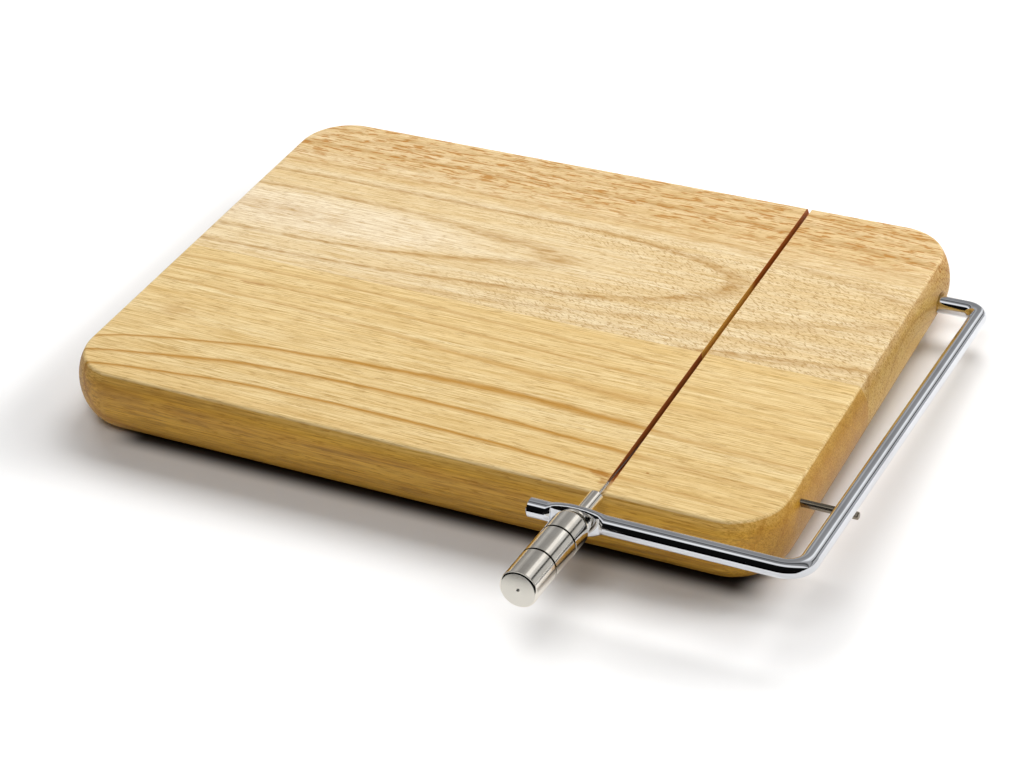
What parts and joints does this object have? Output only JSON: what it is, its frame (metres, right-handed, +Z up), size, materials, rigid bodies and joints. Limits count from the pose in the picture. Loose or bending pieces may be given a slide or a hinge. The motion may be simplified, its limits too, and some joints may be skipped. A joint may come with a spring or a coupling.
{
  "type": "cheese slicing board",
  "caption": "Wooden cutting board with a sawn kerf and a hinged steel bail that swings a tensioned cheese wire down through it.",
  "frame": {"origin": "centre of the board's flat underside, on the table", "axes": "+X along the board's length towards the hinge end, +Y from the handle towards the back edge, +Z up"},
  "size_m": [0.2716, 0.24, 0.0364],
  "materials": {
    "wood_front": "oiled satin, honey-coloured wood with long orange growth lines",
    "wood_rear": "oiled satin, pale honey-coloured wood with brown pore flecks and a cathedral figure",
    "chrome": "polished chrome plate",
    "nickel": "satin nickel plate with fine turning marks",
    "pin_steel": "plain bright steel",
    "wire_steel": "drawn stainless wire",
    "brass": "crimped brass"
  },
  "bodies": {
    "board": {"front_plank": "wood_front", "rear_plank": "wood_rear", "rest_pin": "pin_steel"},
    "bail": {"bail": "chrome", "thrust_washer": "nickel"},
    "handle": {"handle": "nickel"},
    "stud": {"tension_stud": "nickel", "loop_pin": "pin_steel", "cutting_wire": "wire_steel", "wire_anchor": "brass"}
  },
  "joints": [
    {"name": "bail_lift", "type": "hinge", "parent": "board", "child": "bail", "pos_m": [0.127, 0.0643, 0.01235], "axis": [-1, 0, 0], "range_deg": [0, 175]},
    {"name": "handle_turn", "type": "hinge", "parent": "bail", "child": "handle", "pos_m": [0.071, -0.12501, 0.02858], "axis": [0, -0.9963, 0.0854], "range_deg": [0, 720]},
    {"name": "stud_draw", "type": "slide", "parent": "bail", "child": "stud", "axis": [0, 0.9963, -0.0854], "range_m": [0, 0.00161]}
  ],
  "couplings": [
    {"joint": "stud_draw", "follows": "handle_turn", "m_per_rad": 0.00012732}
  ]
}
